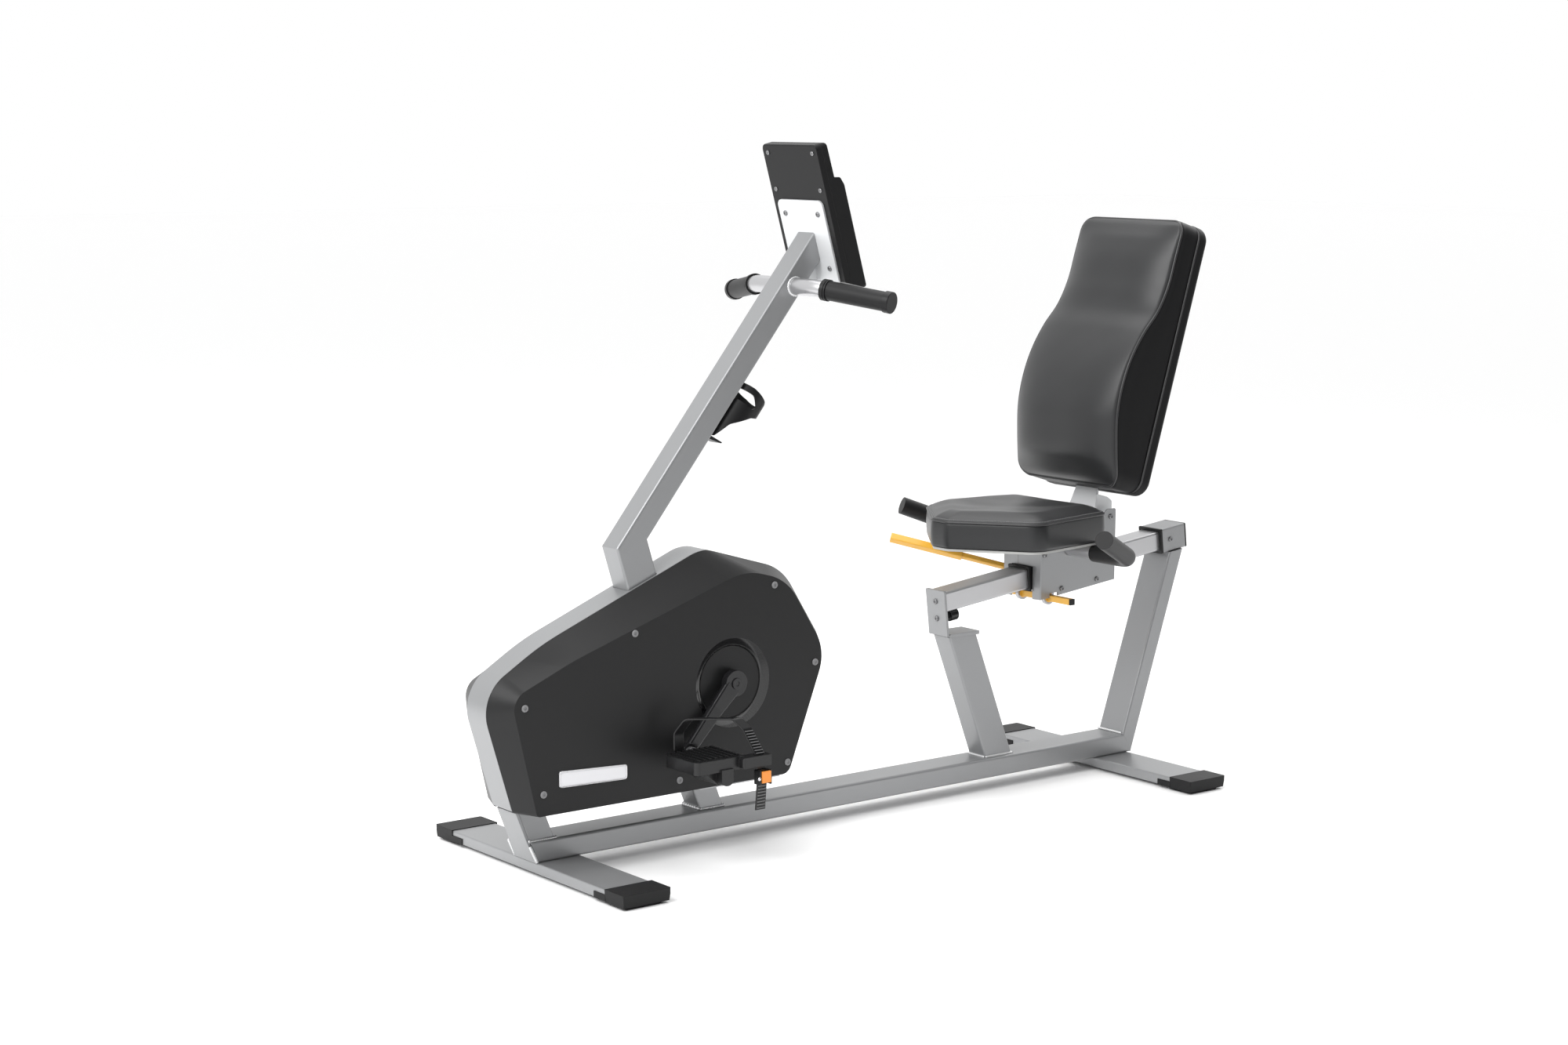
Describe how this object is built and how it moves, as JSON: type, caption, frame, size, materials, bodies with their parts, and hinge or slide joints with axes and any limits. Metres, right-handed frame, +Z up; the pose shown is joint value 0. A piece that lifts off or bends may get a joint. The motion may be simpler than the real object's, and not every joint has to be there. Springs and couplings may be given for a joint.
{
  "type": "recumbent exercise bike",
  "caption": "Recumbent exercise bike: seat sliding on an inclined rail, cased flywheel drive, strap pedals, console post with handlebar and bottle cage.",
  "frame": {"origin": "on the floor, under the middle of the overall box", "axes": "+Z up; +X towards the backrest, so the rider faces -X; +Y towards the rider's right"},
  "size_m": [1.7224, 0.6286, 1.285],
  "materials": {
    "frame_paint": "satin",
    "plate_paint": "satin",
    "rail_metal": "satin",
    "black_plastic": "satin",
    "gloss_black": "gloss",
    "grey_plastic": "satin",
    "orange_plastic": "satin",
    "yellow_paint": "gloss",
    "rubber": "matte",
    "vinyl": "satin",
    "board": "matte",
    "steel": "satin",
    "chrome": "gloss",
    "cast_iron": "matte",
    "black_paint": "satin",
    "badge": "satin",
    "screen": "gloss"
  },
  "bodies": {
    "frame": {"front_crossbar": "frame_paint", "rear_crossbar": "frame_paint", "crossbar_caps": "rubber", "main_beam": "frame_paint", "casing_supports": "frame_paint", "seat_front_leg": "frame_paint", "seat_rear_leg": "frame_paint", "seat_rail": "rail_metal", "rail_end_plate": "frame_paint", "rail_stop": "rubber", "sleeve_liner": "black_plastic", "console_post": "frame_paint", "console_plate": "plate_paint", "console_back_shell": "black_plastic", "console_front_shell": "black_plastic", "console_display": "screen", "console_keypad": "grey_plastic", "handlebar": "plate_paint", "handlebar_grips": "rubber", "handlebar_rings": "black_plastic", "bottle_cage": "black_plastic", "left_casing": "black_plastic", "right_casing": "black_plastic", "casing_band": "frame_paint", "casing_screws": "grey_plastic", "side_badges": "badge", "drive_chassis": "steel", "bottom_bracket": "steel", "crank_bearings": "steel", "flywheel_axle": "steel", "brake_magnets": "steel", "drive_belt": "rubber", "frame_screws": "chrome"},
    "crank": {"crank_axle": "steel", "drive_pulley": "grey_plastic", "crank_discs": "black_plastic", "crank_arms": "black_paint", "crank_bolts": "black_paint", "pedal_axles": "steel"},
    "left_pedal_body": {"left_pedal": "black_plastic", "left_strap": "rubber"},
    "right_pedal_body": {"right_pedal": "black_plastic", "right_strap": "rubber"},
    "left_buckle": {"left_buckle_lever": "orange_plastic"},
    "right_buckle": {"right_buckle_lever": "orange_plastic"},
    "flywheel_body": {"flywheel": "cast_iron"},
    "seat": {"carriage_frame": "steel", "carriage_liners": "black_plastic", "carriage_covers": "frame_paint", "carriage_screws": "chrome", "seat_board": "board", "seat_cushion": "vinyl", "seat_handles": "plate_paint", "seat_grips": "rubber", "backrest_bracket": "plate_paint", "backrest_shell": "vinyl", "backrest_cushion": "vinyl"},
    "lever": {"release_lever": "yellow_paint", "lever_plug": "black_plastic"},
    "clamp": {"clamp_shoe": "steel"}
  },
  "joints": [
    {"name": "crank_turn", "type": "hinge", "parent": "frame", "child": "crank", "pos_m": [-0.36287, 0, 0.31], "axis": [0, 1, 0], "continuous": true},
    {"name": "left_pedal_turn", "type": "hinge", "parent": "crank", "child": "left_pedal_body", "pos_m": [-0.47989, -0.165, 0.20088], "axis": [0, 1, 0], "continuous": true},
    {"name": "right_pedal_turn", "type": "hinge", "parent": "crank", "child": "right_pedal_body", "pos_m": [-0.24585, 0.165, 0.41912], "axis": [0, 1, 0], "continuous": true},
    {"name": "left_buckle_turn", "type": "hinge", "parent": "left_pedal_body", "child": "left_buckle", "pos_m": [-0.40889, -0.236, 0.17288], "axis": [-1, 0, 0], "range_deg": [0, 50]},
    {"name": "right_buckle_turn", "type": "hinge", "parent": "right_pedal_body", "child": "right_buckle", "pos_m": [-0.17485, 0.236, 0.39112], "axis": [1, 0, 0], "range_deg": [0, 50]},
    {"name": "flywheel_turn", "type": "hinge", "parent": "frame", "child": "flywheel_body", "pos_m": [-0.63287, 0.041, 0.275], "axis": [0, 1, 0], "continuous": true},
    {"name": "seat_slide", "type": "slide", "parent": "frame", "child": "seat", "axis": [0.9934, 0, 0.1149], "range_m": [-0.17, 0.15]},
    {"name": "lever_turn", "type": "hinge", "parent": "seat", "child": "lever", "pos_m": [0.45913, 0, 0.377], "axis": [0, 1, 0], "range_deg": [0, 8], "stiffness_Nm_per_rad": 3, "springref_deg": -11.46},
    {"name": "clamp_slide", "type": "slide", "parent": "seat", "child": "clamp", "axis": [0.1149, 0, -0.9934], "range_m": [0, 0.004]}
  ],
  "couplings": [
    {"joint": "flywheel_turn", "follows": "crank_turn", "ratio": 3.3929},
    {"joint": "clamp_slide", "follows": "lever_turn", "m_per_rad": 0.02793}
  ]
}
